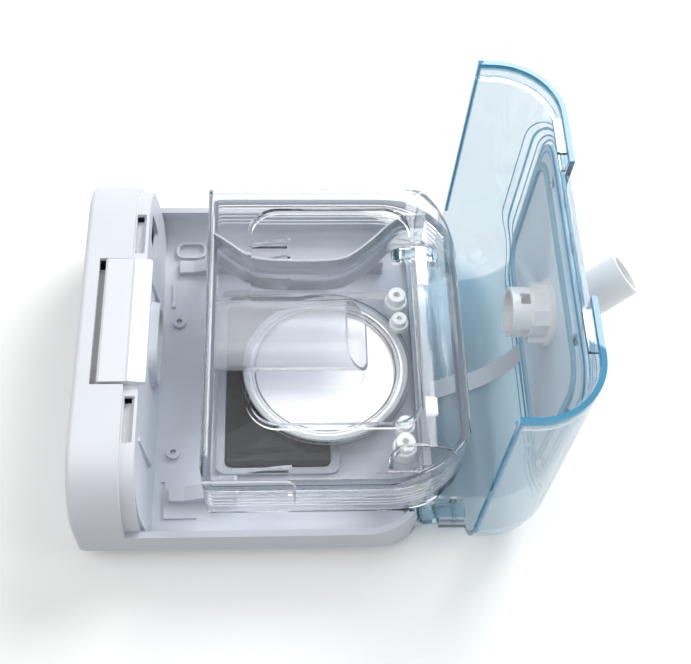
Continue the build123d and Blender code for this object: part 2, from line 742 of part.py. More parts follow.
def make_outlet_elbow():
    """Mitred swivel elbow: a spigot in the collar and a leaning 22 mm tube."""
    root_z = arch_height + elbow_root
    root = Vector(port_x, port_y, root_z)
    lean = Vector(-math.sin(math.radians(elbow_angle)), 0, math.cos(math.radians(elbow_angle)))
    axis_plane = Plane(origin=root, z_dir=lean)
    bore_radius = port_radius - port_wall + 0.2
    low = arch_height + seat_gap
    leaning = extrude(axis_plane * Circle(port_radius), elbow_reach)
    leaning += extrude(axis_plane * Circle(port_radius + connector_step), elbow_reach - connector_length)
    body = leaning + Pos(port_x, port_y, root_z) * Sphere(port_radius + connector_step)
    body -= post(port_x, port_y, low - 40, low, 60)
    body += post(port_x, port_y, low, low + elbow_flange_height, elbow_flange_radius)
    body += post(port_x, port_y, arch_height - 12, low + 1, collar_bore - seat_gap)
    body -= extrude(axis_plane * Circle(bore_radius), elbow_reach + 1)
    body -= Pos(port_x, port_y, root_z) * Sphere(bore_radius)
    body -= post(port_x, port_y, arch_height - 13, root_z, 8.0)
    body -= cap_stub()
    return at_rest_turn(body - Pos(port_x, port_y, o_ring_z) * Torus(collar_bore - seat_gap - 0.5, o_ring_wire))


def make_port_o_ring():
    return Pos(port_x, port_y, o_ring_z) * Torus(collar_bore - seat_gap - 0.5, o_ring_wire - 0.15)


def cap_stub():
    """Stub of the small cap, seated in the elbow's near side."""
    return bar_along_y(cap_x, cap_z, port_y - port_radius - 5.5, port_y - port_radius + 0.7, 2.6)


def make_port_cap():
    """Small grey cap on the elbow's near side."""
    head_y = port_y - port_radius - 5.8
    return at_rest_turn(cap_stub() + bar_along_y(cap_x, cap_z, head_y - 0.8, head_y + 0.8, 3.6))


def make_lid_stay():
    """Thin grey strip that runs aslant over the inside of the lid's rear wall and shoulder."""
    centre_x = x_rear - body_radius
    centre_z = arch_height - body_radius
    outer = body_radius - lid_skin
    inner = outer - 0.5
    slab = Pos(centre_x + outer, -7, 20) * Rot(-stay_slant, 0, 0) * Box(60, stay_width, 160)
    bend = Pos(centre_x, 0, centre_z) * Rot(90, 0, 0) * Cylinder(outer, 70)
    bend -= Pos(centre_x, 0, centre_z) * Rot(90, 0, 0) * Cylinder(inner, 72)
    bend &= block(centre_x + 8, x_rear, -30, 30, centre_z, arch_height)
    return (bend & slab) + (block(centre_x + inner, centre_x + outer, -30, 30, 20, centre_z) & slab)


# Water tank, modelled at its seat

def tank_form(inset, z0, z1):
    """The tank's outer form between two heights, inset all round."""
    x0 = tank_front + inset
    x1 = tank_rear - inset
    half = tank_half_width - inset
    tall = tank_height - 2 * inset
    middle = tank_bottom + tank_height / 2
    section = Pos(0, middle) * Rectangle(2 * half, tall)
    section = fillet(section.vertices().sort_by(Axis.Y)[-2:], tank_shoulder_radius - inset)
    section = fillet(section.vertices().sort_by(Axis.Y)[:2], max(tank_side_low_radius - inset, 0.6))
    along = extrude(across(x0) * section, x1 - x0)
    side = Pos((x0 + x1) / 2, middle) * Rectangle(x1 - x0, tall)
    rear = side.vertices().sort_by(Axis.X)[-2:]
    front = side.vertices().sort_by(Axis.X)[:2]
    top_corner = rear.sort_by(Axis.Y)[-1]
    low_corner = rear.sort_by(Axis.Y)[0]
    side = fillet([top_corner], tank_back_radius - inset)
    side = fillet(side.vertices().group_by(Axis.Y)[0].sort_by(Axis.X)[-1:], tank_low_radius - inset)
    side = fillet(side.vertices().group_by(Axis.X)[0], max(tank_front_edge_radius - inset, 0.6))
    across_y = Pos(0, half + 1, 0) * extrude(Plane.XZ * side, 2 * half + 2)
    outline = plan(x0, x1, half, max(tank_front_radius - inset, 0.6), tank_rear_radius - inset, z0, z1)
    return along & across_y & outline


def make_tank_tub():
    tub = tank_form(0, tank_bottom, split_z) - tank_form(tank_wall, tank_bottom, split_z + 1)
    # ledge under the seal
    tub += tank_form(0, split_z - 2, split_z) - tank_form(tank_wall + tank_ledge, split_z - 3, split_z + 1)
    # raised ring round the opening of the steel base
    hole = disc_radius + disc_seal_width
    tub += post(disc_x, disc_y, tank_bottom, tank_bottom + disc_rim_height + 0.6, hole + 2.2)
    tub -= post(disc_x, disc_y, tank_bottom - 1, tank_bottom + 20, hole)
    tub -= oval_bar(tank_front - 1, tank_front + tank_wall + 1, inlet_width, inlet_tall)
    for fx, fy in tank_feet:
        tub += ramp_pocket(fx, fy, pocket_wall) & tank_form(0, tank_bottom, split_z)
        tub -= ramp_pocket(fx, fy, 0)
        tub += block(fx - foot_pad / 2, fx + foot_pad / 2, fy - foot_pad / 2 + 0.5, fy + foot_pad / 2 - 0.5,
                     tank_bottom - tank_foot_height, tank_bottom + 0.5)
    return tub


def make_tank_seal():
    top = split_z + tank_seal_height
    return tank_form(0.8, split_z, top) - tank_form(tank_wall + tank_ledge, split_z - 1, top + 1)


def make_tank_cover():
    low = split_z + tank_seal_height
    cover = tank_form(0, low, tank_top) - tank_form(tank_wall, low - 1, tank_top)
    cover += tank_form(0, low, low + 2) - tank_form(tank_wall + tank_ledge, low - 1, low + 3)
    cover -= slab(window_x, window_y, window_length, window_width, window_radius,
                  tank_top - tank_wall - 1, tank_top + 1)
    # rolled edge of the window
    edge = slab(window_x, window_y, window_length + 4, window_width + 4, window_radius + 2,
                tank_top - 4.5, tank_top - tank_wall + 0.5)
    cover += edge - slab(window_x, window_y, window_length, window_width, window_radius, 0, above)
    # finger scoop in the near top edge
    scoop_x = tank_rear - 26
    scoop = Pos(scoop_x, -tank_half_width + 4, tank_top) * Box(34, 20, 10)
    scoop = fillet(scoop.edges().filter_by(Axis.Z), 8)
    lining = Pos(scoop_x, -tank_half_width + 4, tank_top) * Box(38.4, 24.4, 14.4)
    lining = fillet(lining.edges().filter_by(Axis.Z), 10)
    return cover + (lining & tank_form(0.5, low, tank_top)) - scoop


def make_tank_inlet_tube():
    """Oval tube that carries the air in over the water, its mouth cut on a slant."""
    x1 = tank_front + inlet_reach
    tube = oval_bar(tank_front, x1, inlet_width - 0.1, inlet_tall - 0.1)
    tube += oval_bar(tank_front + tank_wall, tank_front + tank_wall + 2, inlet_width + 1.6, inlet_tall + 1.6)
    tube -= oval_bar(tank_front - 1, x1 + 1, inlet_width - 2 * inlet_wall, inlet_tall - 2 * inlet_wall)
    cutter = Pos(x1, inlet_y, inlet_z - inlet_tall / 2) * Rot(0, -inlet_slant, 0) * Pos(15, 0, 0) * Box(30, 80, 90)
    return tube - cutter


def make_tank_clips():
    """White hooks under the cover, behind the window's rear edge."""
    clips = []
    for cy, width in ((32.0, 24.0), (-50.0, 9.0)):
        x0 = window_x + window_length / 2 + 2.2
        top = tank_top - tank_wall
        clip = block(x0, x0 + 5.5, cy - width / 2, cy + width / 2, top - 3.8, top)
        clip -= block(x0 + 1.6, x0 + 6.0, cy - width / 2 + 1.5, cy + width / 2 - 1.5, 0, top - 1.8)
        clip &= tank_form(tank_wall, split_z, tank_top)
        clips.append(clip)
    return Compound(children=clips)


def make_tank_disc():
    top = tank_bottom + disc_rim_height
    dish = post(disc_x, disc_y, tank_bottom, top, disc_radius)
    dish = fillet(dish.edges().sort_by(Axis.Z)[:1], 1.6)
    return dish - post(disc_x, disc_y, tank_bottom + disc_thickness, top + 1, disc_radius - disc_thickness)


def make_disc_seal():
    outer = disc_radius + disc_seal_width
    ring = post(disc_x, disc_y, tank_bottom + 1.8, tank_bottom + disc_rim_height + 0.6, outer)
    return ring - post(disc_x, disc_y, tank_bottom, tank_bottom + 20, disc_radius)


save(make_base_housing(), "base_housing")
save(make_inner_panel(), "inner_panel")
save(make_duct_seal(), "duct_seal")
save(make_air_duct(), "air_duct")
save(make_bottom_cover(), "bottom_cover")
save(make_cover_screws(), "cover_screws")
save(make_rubber_feet(), "rubber_feet")
save(make_heater_carrier(), "heater_carrier")
save(make_heater_plate(), "heater_plate")
save(make_heater_element(), "heater_element")
save(make_thermal_cutout(), "thermal_cutout")
save(make_heater_springs(), "heater_springs")
save(make_heater_leads(), "heater_leads")
save(make_control_board(), "control_board")
save(make_docking_connector(), "docking_connector")
save(make_latch_button(), "latch_button")
save(make_latch_bar(), "latch_bar")
save(make_latch_springs(), "latch_springs")
save(make_hinge_pins(), "hinge_pins")

save(open_lid(make_lid_shell()), "lid_shell")
save(open_lid(make_hinge_arm(-1)), "hinge_arm_near")
save(open_lid(make_hinge_arm(1)), "hinge_arm_far")
save(open_lid(make_arm_clip_pins()), "arm_clip_pins")
save(open_lid(make_lid_hooks()), "lid_hooks")
save(open_lid(make_lid_liner()), "lid_liner")
save(open_lid(make_liner_screws()), "liner_screws")
save(open_lid(make_liner_gasket()), "liner_gasket")
save(open_lid(make_port_collar()), "port_collar")
save(open_lid(make_lid_stay()), "lid_stay")
save(open_lid(make_outlet_elbow()), "outlet_elbow")
save(open_lid(make_port_o_ring()), "port_o_ring")
save(open_lid(make_port_cap()), "port_cap")

save(draw_out(make_tank_tub()), "tank_tub")
save(draw_out(make_tank_seal()), "tank_seal")
save(draw_out(make_tank_cover()), "tank_cover")
save(draw_out(make_tank_inlet_tube()), "tank_inlet_tube")
save(draw_out(make_tank_clips()), "tank_clips")
save(draw_out(make_tank_disc()), "tank_disc")
save(draw_out(make_disc_seal()), "disc_seal")
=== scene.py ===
import bpy, bmesh, math
from mathutils import Matrix, Vector


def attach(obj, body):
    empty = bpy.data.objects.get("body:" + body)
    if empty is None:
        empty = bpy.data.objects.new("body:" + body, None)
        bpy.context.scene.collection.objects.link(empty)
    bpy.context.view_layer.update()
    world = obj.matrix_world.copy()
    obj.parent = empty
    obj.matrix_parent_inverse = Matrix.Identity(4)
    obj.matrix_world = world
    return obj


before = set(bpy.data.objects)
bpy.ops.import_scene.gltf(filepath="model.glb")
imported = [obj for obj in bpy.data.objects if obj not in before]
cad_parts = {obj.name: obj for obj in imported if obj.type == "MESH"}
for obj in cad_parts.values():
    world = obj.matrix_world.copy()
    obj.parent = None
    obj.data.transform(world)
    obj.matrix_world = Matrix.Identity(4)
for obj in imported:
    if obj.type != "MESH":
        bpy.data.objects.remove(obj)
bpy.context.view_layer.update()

# The view: a product shot from above and in front, with the unit standing open on a pale table.
# The camera stands 653 mm from the unit and looks steeply down, turned a little to the left and rolled.
azimuth = math.radians(-5.079)
elevation = math.radians(58.694)
roll = math.radians(3.966)
view_distance = 0.65331
view_target = Vector((0.04823, 0.01697, 0.030))
lens_mm = 62.97
sensor_mm = 36

toward = Vector((math.sin(azimuth) * math.cos(elevation),
                 -math.cos(azimuth) * math.cos(elevation),
                 math.sin(elevation)))
right = Vector((math.cos(azimuth), math.sin(azimuth), 0))
up = toward.cross(right)
right_rolled = math.cos(roll) * right + math.sin(roll) * up
up_rolled = -math.sin(roll) * right + math.cos(roll) * up
camera_data = bpy.data.cameras.new("view")
camera_data.lens = lens_mm
camera_data.sensor_width = sensor_mm
camera = bpy.data.objects.new("view", camera_data)
turn = Matrix((right_rolled, up_rolled, toward)).transposed().to_4x4()
camera.matrix_world = Matrix.Translation(view_target + toward * view_distance) @ turn
bpy.context.collection.objects.link(camera)
bpy.context.scene.camera = camera
bpy.context.scene.view_settings.view_transform = "Standard"


# Table top: matt white laminate that the unit stands on. It takes the soft shadow of the unit, and to the
# camera it is lifted to the white of a product shot.
def linear(code):
    """Linear colour from an sRGB hex value."""
    parts = [int(code[n:n + 2], 16) / 255 for n in (0, 2, 4)]
    return tuple(p / 12.92 if p < 0.04045 else ((p + 0.055) / 1.055) ** 2.4 for p in parts) + (1,)


def put(tree, kind, inputs=None, **settings):
    """Add a node with its settings, values and links."""
    node = tree.nodes.new(kind)
    for name, value in settings.items():
        setattr(node, name, value)
    for name, value in (inputs or {}).items():
        if isinstance(value, bpy.types.NodeSocket):
            tree.links.new(value, node.inputs[name])
        else:
            node.inputs[name].default_value = value
    return node


def new_material(name):
    """An empty node material and its tree."""
    material = bpy.data.materials.new(name)
    material.use_nodes = True
    material.node_tree.nodes.clear()
    return material, material.node_tree


floor_half = 4.0
floor_lift = 0.14
speck_mm = 1.11

floor_corners = [(-floor_half, -floor_half, 0), (floor_half, -floor_half, 0),
                 (floor_half, floor_half, 0), (-floor_half, floor_half, 0)]
floor_mesh = bpy.data.meshes.new("table_top")
floor_mesh.from_pydata(floor_corners, [], [(0, 1, 2, 3)])
table_top = bpy.data.objects.new("table_top", floor_mesh)
bpy.context.collection.objects.link(table_top)
laminate, tree = new_material("laminate_white_matt")
place = put(tree, "ShaderNodeTexCoord")
speck = put(tree, "ShaderNodeTexNoise", {
    "Vector": place.outputs["Object"], "Scale": 1000 / speck_mm, "Detail": 2.0})
tint = put(tree, "ShaderNodeMix", {
    "Factor": speck.outputs["Fac"], "A": linear("EDEEEC"), "B": linear("F3F4F3")}, data_type="RGBA")
board = put(tree, "ShaderNodeBsdfPrincipled", {
    "Base Color": tint.outputs["Result"], "Roughness": 0.7, "Specular IOR Level": 0.1})
ray = put(tree, "ShaderNodeLightPath")
direct = put(tree, "ShaderNodeMath", {
    0: ray.outputs["Is Camera Ray"], 1: ray.outputs["Is Glossy Ray"]}, operation="MAXIMUM")
seen = put(tree, "ShaderNodeMath", {
    0: direct.outputs[0], 1: ray.outputs["Is Transmission Ray"]}, operation="MAXIMUM")
lift = put(tree, "ShaderNodeMath", {0: seen.outputs[0], 1: floor_lift}, operation="MULTIPLY")
glow = put(tree, "ShaderNodeEmission", {"Color": (1, 1, 1, 1), "Strength": lift.outputs[0]})
both = put(tree, "ShaderNodeAddShader", {0: board.outputs["BSDF"], 1: glow.outputs[0]})
put(tree, "ShaderNodeOutputMaterial", {"Surface": both.outputs[0]})
table_top.data.materials.append(laminate)

# Studio light: a soft box over the far right, wide weak ones overhead and to the left, a small one low at the
# right, and a pale room that darkens towards the horizon, so that clear plastic shows its edges.
lamp_plan = [  # name, place, aim, size, power
    ("key", (0.70, 0.85, 1.05), (0.05, 0.0, 0.03), 0.70, 17.0),
    ("fill", (-0.05, -0.05, 1.45), (0.03, 0.0, 0.03), 1.2, 3.6),
    ("left", (-0.85, -0.20, 1.05), (0.08, 0.0, 0.06), 0.9, 4.6),
    ("rim", (0.9, -0.35, 0.7), (0.08, 0.0, 0.05), 0.35, 1.6),
]
horizon_height, overhead_height = 0.05, 0.55
horizon_light, overhead_light = 0.66, 1.05
room_light = 0.34

for name, place, aim, size, power in lamp_plan:
    lamp = bpy.data.lights.new(name, "AREA")
    lamp.shape = "SQUARE"
    lamp.size = size
    lamp.energy = power
    lamp_object = bpy.data.objects.new(name, lamp)
    facing = (Vector(aim) - Vector(place)).to_track_quat("-Z", "Y").to_matrix().to_4x4()
    lamp_object.matrix_world = Matrix.Translation(place) @ facing
    bpy.context.collection.objects.link(lamp_object)
world = bpy.data.worlds.new("room")
bpy.context.scene.world = world
world.use_nodes = True
room = world.node_tree
room.nodes.clear()
ray = put(room, "ShaderNodeLightPath")
way = put(room, "ShaderNodeTexCoord")
height = put(room, "ShaderNodeSeparateXYZ", {"Vector": way.outputs["Generated"]})
fade = put(room, "ShaderNodeMapRange", {
    "Value": height.outputs["Z"], "From Min": horizon_height, "From Max": overhead_height,
    "To Min": horizon_light, "To Max": overhead_light})
white = put(room, "ShaderNodeBackground", {"Color": (1, 1, 1, 1), "Strength": 1.0})
wall = put(room, "ShaderNodeBackground", {"Color": linear("F5F6F8"), "Strength": fade.outputs[0]})
soft = put(room, "ShaderNodeBackground", {"Color": linear("F2F4F6"), "Strength": room_light})
mirrored = put(room, "ShaderNodeMath", {
    0: ray.outputs["Is Glossy Ray"], 1: ray.outputs["Is Transmission Ray"]}, operation="MAXIMUM")
shown = put(room, "ShaderNodeMixShader", {0: mirrored.outputs[0], 1: soft.outputs[0], 2: wall.outputs[0]})
choice = put(room, "ShaderNodeMixShader", {
    0: ray.outputs["Is Camera Ray"], 1: shown.outputs[0], 2: white.outputs[0]})
put(room, "ShaderNodeOutputWorld", {"Surface": choice.outputs[0]})


# Base housing: one injection moulding in ABS with the latch block, the step that the lid closes over and the
# open tray. Cool light grey-white, with a fine spark-eroded grain, and greyer low down as painted shade.
cloud_mm = 35.7
glossier, duller = 0.04, 0.05
# Heights in metres where the painted shade low on the housing starts and where it is full.
painted_shade_from, painted_shade_below = 0.062, 0.040


def moulded(name, pale, shade, roughness, grain_mm=0.35, relief_mm=0.02, ior=1.54):
    """Moulded plastic or rubber: a faint change of tone and a fine eroded grain."""
    material, tree = new_material(name)
    place = put(tree, "ShaderNodeTexCoord")
    cloud = put(tree, "ShaderNodeTexNoise", {
        "Vector": place.outputs["Object"], "Scale": 1000 / cloud_mm, "Detail": 3.0})
    tone = put(tree, "ShaderNodeMix", {
        "Factor": cloud.outputs["Fac"], "A": linear(shade), "B": linear(pale)}, data_type="RGBA", name="tone")
    grain = put(tree, "ShaderNodeTexNoise", {
        "Vector": place.outputs["Object"], "Scale": 1000 / grain_mm, "Detail": 2.0, "Roughness": 0.6})
    relief = put(tree, "ShaderNodeBump", {
        "Height": grain.outputs["Fac"], "Strength": 0.5, "Distance": relief_mm / 1000})
    gloss = put(tree, "ShaderNodeMapRange", {
        "Value": cloud.outputs["Fac"], "To Min": roughness - glossier, "To Max": roughness + duller})
    skin = put(tree, "ShaderNodeBsdfPrincipled", {
        "Base Color": tone.outputs["Result"], "Normal": relief.outputs[0], "Roughness": gloss.outputs[0],
        "IOR": ior}, name="skin")
    put(tree, "ShaderNodeOutputMaterial", {"Surface": skin.outputs["BSDF"]}, name="out")
    return material


def finish(material, *nodes):
    """Give CAD nodes their finish."""
    for node in nodes:
        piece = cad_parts[node]
        piece.data.materials.clear()
        piece.data.materials.append(material)


abs_housing = moulded("abs_moulded_cool_white", "E0E3E9", "D8DBE2", 0.42)
# Painted shade: below 62 mm the colour turns to a darker grey, fully by 40 mm, standing in for shade on the
# tray floor and the low outer sides.
tree = abs_housing.node_tree
place = put(tree, "ShaderNodeTexCoord")
height = put(tree, "ShaderNodeSeparateXYZ", {"Vector": place.outputs["Object"]})
grey = put(tree, "ShaderNodeMapRange", {
    "Value": height.outputs["Z"], "From Min": painted_shade_from, "From Max": painted_shade_below})
painted_shade_tone = put(tree, "ShaderNodeMix", {
    "Factor": grey.outputs[0], "A": tree.nodes["tone"].outputs["Result"], "B": linear("C9CDD4")},
    data_type="RGBA")
tree.links.new(painted_shade_tone.outputs["Result"], tree.nodes["skin"].inputs["Base Color"])
finish(abs_housing, "base_housing")

# Inner panel, air duct and bottom cover: ABS mouldings in the same shade, clipped and screwed to the housing.
# The silicone ring round the air opening is milky and matt.
abs_inner = moulded("abs_moulded_inner", "D6DAE2", "CDD2DA", 0.48)
finish(abs_inner, "inner_panel", "air_duct", "bottom_cover")
silicone = moulded("silicone_milky", "D5D9DD", "C9CED3", 0.6, grain_mm=0.8)
finish(silicone, "duct_seal")

# Latch button and bar: the button is a glossier ABS moulding that slides towards the front, and the bar
# under it is acetal, bright and a little waxy.
abs_button = moulded("abs_moulded_button", "E6E9EE", "DEE2E8", 0.32)
finish(abs_button, "latch_button")
acetal = moulded("acetal_white", "F7F8F9", "F0F2F4", 0.3, grain_mm=0.6)
finish(acetal, "latch_bar")


# Heater: a cast aluminium plate with a black fluoropolymer coat, in a grey heat-proof carrier. Under it are a
# film element, a steel thermal cutout and four springs, and two silicone leads run to the board.
line_length_mm = 25.0
line_width_mm = 1.1


def metal(name, pale, shade, roughness):
    """Metal with a fine brushed change of tone; the lines are drawn as coarse as they need to be to show."""
    material, tree = new_material(name)
    place = put(tree, "ShaderNodeTexCoord")
    stretch = put(tree, "ShaderNodeMapping", {
        "Vector": place.outputs["Object"],
        "Scale": (1000 / line_length_mm, 1000 / line_width_mm, 1000 / line_length_mm)})
    streak = put(tree, "ShaderNodeTexNoise", {"Vector": stretch.outputs[0], "Scale": 1.0, "Detail": 3.0})
    tone = put(tree, "ShaderNodeMix", {
        "Factor": streak.outputs["Fac"], "A": linear(shade), "B": linear(pale)}, data_type="RGBA")
    body = put(tree, "ShaderNodeBsdfPrincipled", {
        "Base Color": tone.outputs["Result"], "Metallic": 1.0, "Roughness": roughness})
    put(tree, "ShaderNodeOutputMaterial", {"Surface": body.outputs["BSDF"]})
    return material


coated = moulded("aluminium_fluoropolymer_coat", "11151D", "0C0F15", 0.5, grain_mm=0.5, ior=1.34)
finish(coated, "heater_plate")
pps = moulded("polyphenylene_sulfide_grey", "B2B6BD", "A7ABB3", 0.5, grain_mm=0.5)
finish(pps, "heater_carrier")
film = moulded("polyimide_film", "B5792A", "A0661E", 0.35)
finish(film, "heater_element")
turned_steel = metal("stainless_steel_turned", "D6D8DA", "BFC2C5", 0.26)
finish(turned_steel, "thermal_cutout", "heater_springs", "latch_springs", "cover_screws", "liner_screws",
       "hinge_pins")
wire = moulded("silicone_wire", "A8322A", "8E2821", 0.5)
finish(wire, "heater_leads")

# Board, docking plug and feet: green epoxy glass, a dark nylon plug shell and soft grey rubber feet. The
# O-ring of the outlet is of the same rubber.
epoxy_glass = moulded("epoxy_glass_board", "1F5B3A", "184A2F", 0.35)
finish(epoxy_glass, "control_board")
nylon = moulded("nylon_dark", "4B4F55", "3F4349", 0.5, grain_mm=0.5)
finish(nylon, "docking_connector")
rubber = moulded("rubber_grey", "5A5E64", "4B4F55", 0.75, grain_mm=0.8)
finish(rubber, "rubber_feet", "port_o_ring")

# Lid shell: a polished moulding in blue-tinted polycarbonate, open at its front and underside. Its faces look
# almost clear, the colour gathers in its rims, which are deep teal, and its rear wall is etched and painted
# greyer as shade.
# A band holds where the rim's colour starts and where it is full, in millimetres from the rim.
polycarbonate_ior = 1.5
ripple_mm = 28.6
polished, etched_matt = 0.02, 0.16
hinge_mm = (82.5, 7.0)
lid_angle = math.radians(92.0)
lid_front = -62.1
lid_rim = 31.4
front_band = (4.4, 2.2)
low_band = (2.2, 0.88)
etched_from = 57.0
etched_half = 69.0
etched_fade = (0.6, 1.2)
wall_clarity, rim_clarity = 0.88, 0.3
blue_absorption = (0.0, 0.66, 0.84, 1)


def clear_moulding(name, tint, shadow_tint, absorb, density, roughness=polished, clarity=1.0, mirror=1.0):
    """Clear moulded plastic that lets the lamps through, with the colour in its thickness."""
    material, tree = new_material(name)
    place = put(tree, "ShaderNodeTexCoord")
    ripple = put(tree, "ShaderNodeTexNoise", {
        "Vector": place.outputs["Object"], "Scale": 1000 / ripple_mm, "Detail": 2.0})
    relief = put(tree, "ShaderNodeBump", {
        "Height": ripple.outputs["Fac"], "Strength": 0.02, "Distance": 0.001})
    body = put(tree, "ShaderNodeBsdfPrincipled", {
        "Base Color": linear(tint), "IOR": polycarbonate_ior, "Roughness": roughness,
        "Transmission Weight": clarity, "Specular Tint": (mirror, mirror, mirror, 1),
        "Normal": relief.outputs[0]}, name="body")
    through = put(tree, "ShaderNodeBsdfTransparent", {"Color": linear(shadow_tint)})
    ray = put(tree, "ShaderNodeLightPath")
    surface = put(tree, "ShaderNodeMixShader", {
        0: ray.outputs["Is Shadow Ray"], 1: body.outputs["BSDF"], 2: through.outputs[0]})
    depth = put(tree, "ShaderNodeVolumeAbsorption", {"Color": absorb, "Density": density})
    put(tree, "ShaderNodeOutputMaterial", {"Surface": surface.outputs[0], "Volume": depth.outputs[0]})
    return material


def lid_zones(material, face, rim, etched):
    """Colour a clear moulding by the lid's own axes: its rims, and its rear wall with an etched skin and a
    greyer tint of painted shade.
    """
    tree = material.node_tree
    body = tree.nodes["body"]
    front = (lid_front - hinge_mm[0]) / 1000
    low = (lid_rim - hinge_mm[1]) / 1000
    rear = (etched_from - hinge_mm[0]) / 1000
    half = etched_half / 1000
    place = put(tree, "ShaderNodeTexCoord")
    back = put(tree, "ShaderNodeMapping", {
        "Vector": place.outputs["Object"], "Location": (-hinge_mm[0] / 1000, 0, -hinge_mm[1] / 1000)})
    level = put(tree, "ShaderNodeMapping", {"Vector": back.outputs[0], "Rotation": (0, -lid_angle, 0)})
    axes = put(tree, "ShaderNodeSeparateXYZ", {"Vector": level.outputs[0]})
    along = put(tree, "ShaderNodeMapRange", {
        "Value": axes.outputs["X"], "From Min": front + front_band[0] / 1000,
        "From Max": front + front_band[1] / 1000})
    below = put(tree, "ShaderNodeMapRange", {
        "Value": axes.outputs["Z"], "From Min": low + low_band[0] / 1000,
        "From Max": low + low_band[1] / 1000})
    at_rear = put(tree, "ShaderNodeMapRange", {
        "Value": axes.outputs["X"], "From Min": rear, "From Max": rear + etched_fade[0] / 1000})
    aside = put(tree, "ShaderNodeMath", {0: axes.outputs["Y"]}, operation="ABSOLUTE")
    between = put(tree, "ShaderNodeMapRange", {
        "Value": aside.outputs[0], "From Min": half, "From Max": half - etched_fade[1] / 1000})
    behind = put(tree, "ShaderNodeMath", {0: at_rear.outputs[0], 1: between.outputs[0]}, operation="MULTIPLY")
    ahead = put(tree, "ShaderNodeMath", {0: 1.0, 1: at_rear.outputs[0]}, operation="SUBTRACT")
    side = put(tree, "ShaderNodeMath", {0: below.outputs[0], 1: ahead.outputs[0]}, operation="MULTIPLY")
    edge = put(tree, "ShaderNodeMath", {0: along.outputs[0], 1: side.outputs[0]}, operation="MAXIMUM")
    # Painted shade: the rear wall's colour is a greyer tint than the faces; its matt etched skin, set below,
    # is real.
    wall = put(tree, "ShaderNodeMix", {
        "Factor": behind.outputs[0], "A": linear(face), "B": linear(etched)}, data_type="RGBA")
    tone = put(tree, "ShaderNodeMix", {
        "Factor": edge.outputs[0], "A": wall.outputs["Result"], "B": linear(rim)}, data_type="RGBA")
    matt = put(tree, "ShaderNodeMapRange", {
        "Value": behind.outputs[0], "To Min": polished, "To Max": etched_matt})
    clear = put(tree, "ShaderNodeMapRange", {
        "Value": edge.outputs[0], "To Min": wall_clarity, "To Max": rim_clarity})
    tree.links.new(tone.outputs["Result"], body.inputs["Base Color"])
    tree.links.new(matt.outputs[0], body.inputs["Roughness"])
    tree.links.new(clear.outputs[0], body.inputs["Transmission Weight"])


lid_blue = clear_moulding("polycarbonate_blue_tint", "E8E8EC", "CED6DB", blue_absorption, 40.0)
# The etched colour is a greyer tint that paints the shade on the lid's rear wall.
lid_zones(lid_blue, face="EAECF0", rim="4A9FC6", etched="C0CFD8")
finish(lid_blue, "lid_shell")

# Hinge arms, lid hooks and clip pins: blue-tinted polycarbonate arms and hooks, held to the shell by short
# acetal pins with round heads.
fitting_blue = clear_moulding("polycarbonate_blue_fittings", "CDE3EC", "D4E6EE", blue_absorption, 22.0)
finish(fitting_blue, "lid_hooks", "hinge_arm_near", "hinge_arm_far")
finish(acetal, "arm_clip_pins")

# Stiffening beads of the lid: moulded lines that run round the liner, and small windows near the front edge
# where the mould forms the catches, each inside the wall of the shell. Two more lie round the liner's edge.
ceiling_mm = 69.4
liner_mm = 68.0
line_depth = 0.8
shoulder_y = 67.0
shoulder_x = 54.5
inner_radius = 30.4
bead_step = 1.6
bead_sides = 8
corner_steps = 12
straight_step = 4.0
lid_beads = [  # centre x, centre y, length, width, corner radius, bead radius
    (10.0, 0.0, 121.0, 176.0, 30.0, 0.35),
    (9.5, 0.0, 116.0, 168.0, 27.0, 0.7),
    (9.5, 0.0, 111.0, 160.0, 24.0, 0.5),
    (9.0, 0.0, 107.0, 153.0, 21.0, 0.6),
]
liner_beads = [
    (10.0, 0.0, 103.4, 147.4, 17.7, 0.55),
    (10.0, 0.0, 97.5, 141.5, 15.0, 0.4),
]
catch_windows = [
    (-56.5, 50.0, 7.5, 21.0, 1.5, 0.55),
    (-46.0, 27.0, 5.5, 8.0, 1.2, 0.5),
    (-46.0, 2.0, 5.5, 9.0, 1.2, 0.5),
    (-56.5, -49.0, 7.5, 19.0, 1.5, 0.55),
]


def bead_tree(name, material):
    """Geometry Nodes: an even round bead along a path of edges."""
    tree = bpy.data.node_groups.new(name, "GeometryNodeTree")
    tree.interface.new_socket("Path", in_out="INPUT", socket_type="NodeSocketGeometry")
    for socket in ("Bead", "Step"):
        tree.interface.new_socket(socket, in_out="INPUT", socket_type="NodeSocketFloat")
    tree.interface.new_socket("Geometry", in_out="OUTPUT", socket_type="NodeSocketGeometry")
    given = put(tree, "NodeGroupInput")
    line = put(tree, "GeometryNodeMeshToCurve", {"Mesh": given.outputs["Path"]})
    even = put(tree, "GeometryNodeResampleCurve", {
        "Curve": line.outputs[0], "Length": given.outputs["Step"]}, mode="LENGTH")
    section = put(tree, "GeometryNodeCurvePrimitiveCircle", {
        "Resolution": bead_sides, "Radius": given.outputs["Bead"]})
    swept = put(tree, "GeometryNodeCurveToMesh", {
        "Curve": even.outputs[0], "Profile Curve": section.outputs[0], "Fill Caps": True})
    real = put(tree, "GeometryNodeRealizeInstances", {"Geometry": swept.outputs[0]})
    made = put(tree, "GeometryNodeSetMaterial", {"Geometry": real.outputs[0], "Material": material})
    put(tree, "NodeGroupOutput", {"Geometry": made.outputs[0]})
    return tree


def solid_object(name, built, material, smooth=False):
    """An object that holds a finished bmesh."""
    for face in built.faces:
        face.smooth = smooth
    mesh = bpy.data.meshes.new(name)
    built.to_mesh(mesh)
    built.free()
    mesh.materials.append(material)
    piece = bpy.data.objects.new(name, mesh)
    bpy.context.collection.objects.link(piece)
    return piece


